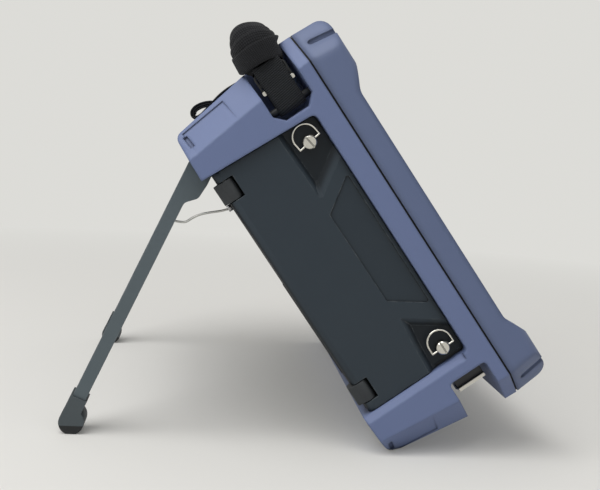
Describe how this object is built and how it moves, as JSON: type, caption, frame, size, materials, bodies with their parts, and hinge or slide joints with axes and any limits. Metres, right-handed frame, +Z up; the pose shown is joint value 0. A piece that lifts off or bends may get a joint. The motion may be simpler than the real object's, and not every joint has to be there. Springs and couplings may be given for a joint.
{
  "type": "vector network analyzer",
  "caption": "Rugged portable network analyzer leaning on a folding rear stand, with a hinged side door, captive ring screws, rolled carry strap, front display and a bottom bay of test ports.",
  "frame": {"origin": "on the floor, under the middle of the bounding box", "axes": "+X across the case to the side with the vent cover, +Y to the rear where the stand is, +Z up"},
  "size_m": [0.29, 0.2499, 0.2164],
  "materials": {
    "shell_blue": "moulded, fine grain",
    "seal_rubber": "matt",
    "steel_screws": "satin",
    "housing_dark": "moulded, fine grain",
    "door_slate": "moulded, fine grain",
    "pin_steel": "ground",
    "nickel": "bright nickel",
    "brass_parts": "plain",
    "battery_black": "matt",
    "stand_paint": "powder coat",
    "stay_steel": "stranded",
    "strap_black": "black coat",
    "webbing": "woven",
    "panel_black": "matt",
    "window": "polished",
    "plated_metal": "satin",
    "key_rubber": "soft",
    "board_green": "varnished",
    "fan_black": "matt",
    "port_metal": "plated"
  },
  "bodies": {
    "case": {"front_shell": "shell_blue", "case_gasket": "seal_rubber", "rear_shell": "shell_blue", "base_pads": "seal_rubber", "case_screws": "steel_screws", "core_housing": "housing_dark", "rear_cover": "housing_dark", "rear_cover_screws": "steel_screws", "right_cover": "housing_dark", "right_cover_screws": "steel_screws", "door_hinge_pins": "pin_steel", "screw_receptacles": "brass_parts", "battery_front": "battery_black", "battery_rear": "battery_black", "battery_contacts": "brass_parts", "stand_pins": "pin_steel", "lanyard": "stay_steel", "lanyard_anchor": "stay_steel", "strap_bar_left": "strap_black", "strap_bar_right": "strap_black", "strap_slider_left": "strap_black", "strap_slider_right": "strap_black", "strap_clip_left": "nickel", "strap_clip_right": "nickel", "strap_loop": "webbing", "strap_roll": "webbing", "strap_tab": "webbing", "front_panel": "panel_black", "display_glass": "window", "lcd_module": "plated_metal", "keypad_mat": "seal_rubber", "main_board": "board_green", "rf_module": "plated_metal", "fan_frame": "fan_black", "port_1": "port_metal", "port_2": "port_metal", "bay_guard": "port_metal", "usb_ports": "plated_metal", "lan_jack": "plated_metal", "dc_jack": "fan_black"},
    "stand": {"stand_leg_left": "stand_paint", "stand_leg_right": "stand_paint", "stand_plate": "stand_paint", "stand_rivets": "steel_screws", "stand_foot_left": "seal_rubber", "stand_foot_right": "seal_rubber", "lanyard_ferrule": "stay_steel"},
    "door": {"battery_door": "door_slate"},
    "screw_up": {"captive_screw_upper": "nickel"},
    "screw_lo": {"captive_screw_lower": "nickel"},
    "ring_up": {"ring_upper": "nickel"},
    "ring_lo": {"ring_lower": "nickel"},
    "fan": {"fan_rotor": "fan_black"},
    "key_1_body": {"soft_key_1": "key_rubber"},
    "key_2_body": {"soft_key_2": "key_rubber"},
    "key_3_body": {"soft_key_3": "key_rubber"},
    "key_4_body": {"soft_key_4": "key_rubber"},
    "key_5_body": {"soft_key_5": "key_rubber"},
    "key_6_body": {"soft_key_6": "key_rubber"},
    "power_button_body": {"power_button": "key_rubber"}
  },
  "joints": [
    {"name": "stand_hinge", "type": "hinge", "parent": "case", "child": "stand", "pos_m": [0, 0.05778, 0.13776], "axis": [-1, 0, 0], "range_deg": [0, 58], "deforming": ["lanyard"]},
    {"name": "door_hinge", "type": "hinge", "parent": "case", "child": "door", "pos_m": [-0.137, 0.00628, 0.08036], "axis": [0, -0.5975, -0.8019], "range_deg": [0, 105]},
    {"name": "captive_screw_lower_turn", "type": "hinge", "parent": "door", "child": "screw_lo", "pos_m": [-0.1418, -0.06809, 0.05671], "axis": [-1, 0, 0], "range_deg": [0, 90]},
    {"name": "captive_screw_upper_turn", "type": "hinge", "parent": "door", "child": "screw_up", "pos_m": [-0.1418, 0.00612, 0.1563], "axis": [-1, 0, 0], "range_deg": [0, 90]},
    {"name": "ring_lower_lift", "type": "hinge", "parent": "screw_lo", "child": "ring_lo", "pos_m": [-0.1418, -0.06809, 0.05671], "axis": [0, -0.8019, 0.5975], "range_deg": [0, 90]},
    {"name": "ring_upper_lift", "type": "hinge", "parent": "screw_up", "child": "ring_up", "pos_m": [-0.1418, 0.00612, 0.1563], "axis": [0, -0.6986, 0.7156], "range_deg": [0, 90]},
    {"name": "soft_key_1_press", "type": "slide", "parent": "case", "child": "key_1_body", "axis": [0, 0.8019, -0.5975], "range_m": [0, 0.0007], "stiffness_N_per_m": 600},
    {"name": "soft_key_2_press", "type": "slide", "parent": "case", "child": "key_2_body", "axis": [0, 0.8019, -0.5975], "range_m": [0, 0.0007], "stiffness_N_per_m": 600},
    {"name": "soft_key_3_press", "type": "slide", "parent": "case", "child": "key_3_body", "axis": [0, 0.8019, -0.5975], "range_m": [0, 0.0007], "stiffness_N_per_m": 600},
    {"name": "soft_key_4_press", "type": "slide", "parent": "case", "child": "key_4_body", "axis": [0, 0.8019, -0.5975], "range_m": [0, 0.0007], "stiffness_N_per_m": 600},
    {"name": "soft_key_5_press", "type": "slide", "parent": "case", "child": "key_5_body", "axis": [0, 0.8019, -0.5975], "range_m": [0, 0.0007], "stiffness_N_per_m": 600},
    {"name": "soft_key_6_press", "type": "slide", "parent": "case", "child": "key_6_body", "axis": [0, 0.8019, -0.5975], "range_m": [0, 0.0007], "stiffness_N_per_m": 600},
    {"name": "power_button_press", "type": "slide", "parent": "case", "child": "power_button_body", "axis": [0, 0.8019, -0.5975], "range_m": [0, 0.0007], "stiffness_N_per_m": 600},
    {"name": "fan_spin", "type": "hinge", "parent": "case", "child": "fan", "pos_m": [0, -0.01651, 0.09497], "axis": [1, 0, 0], "continuous": true}
  ]
}
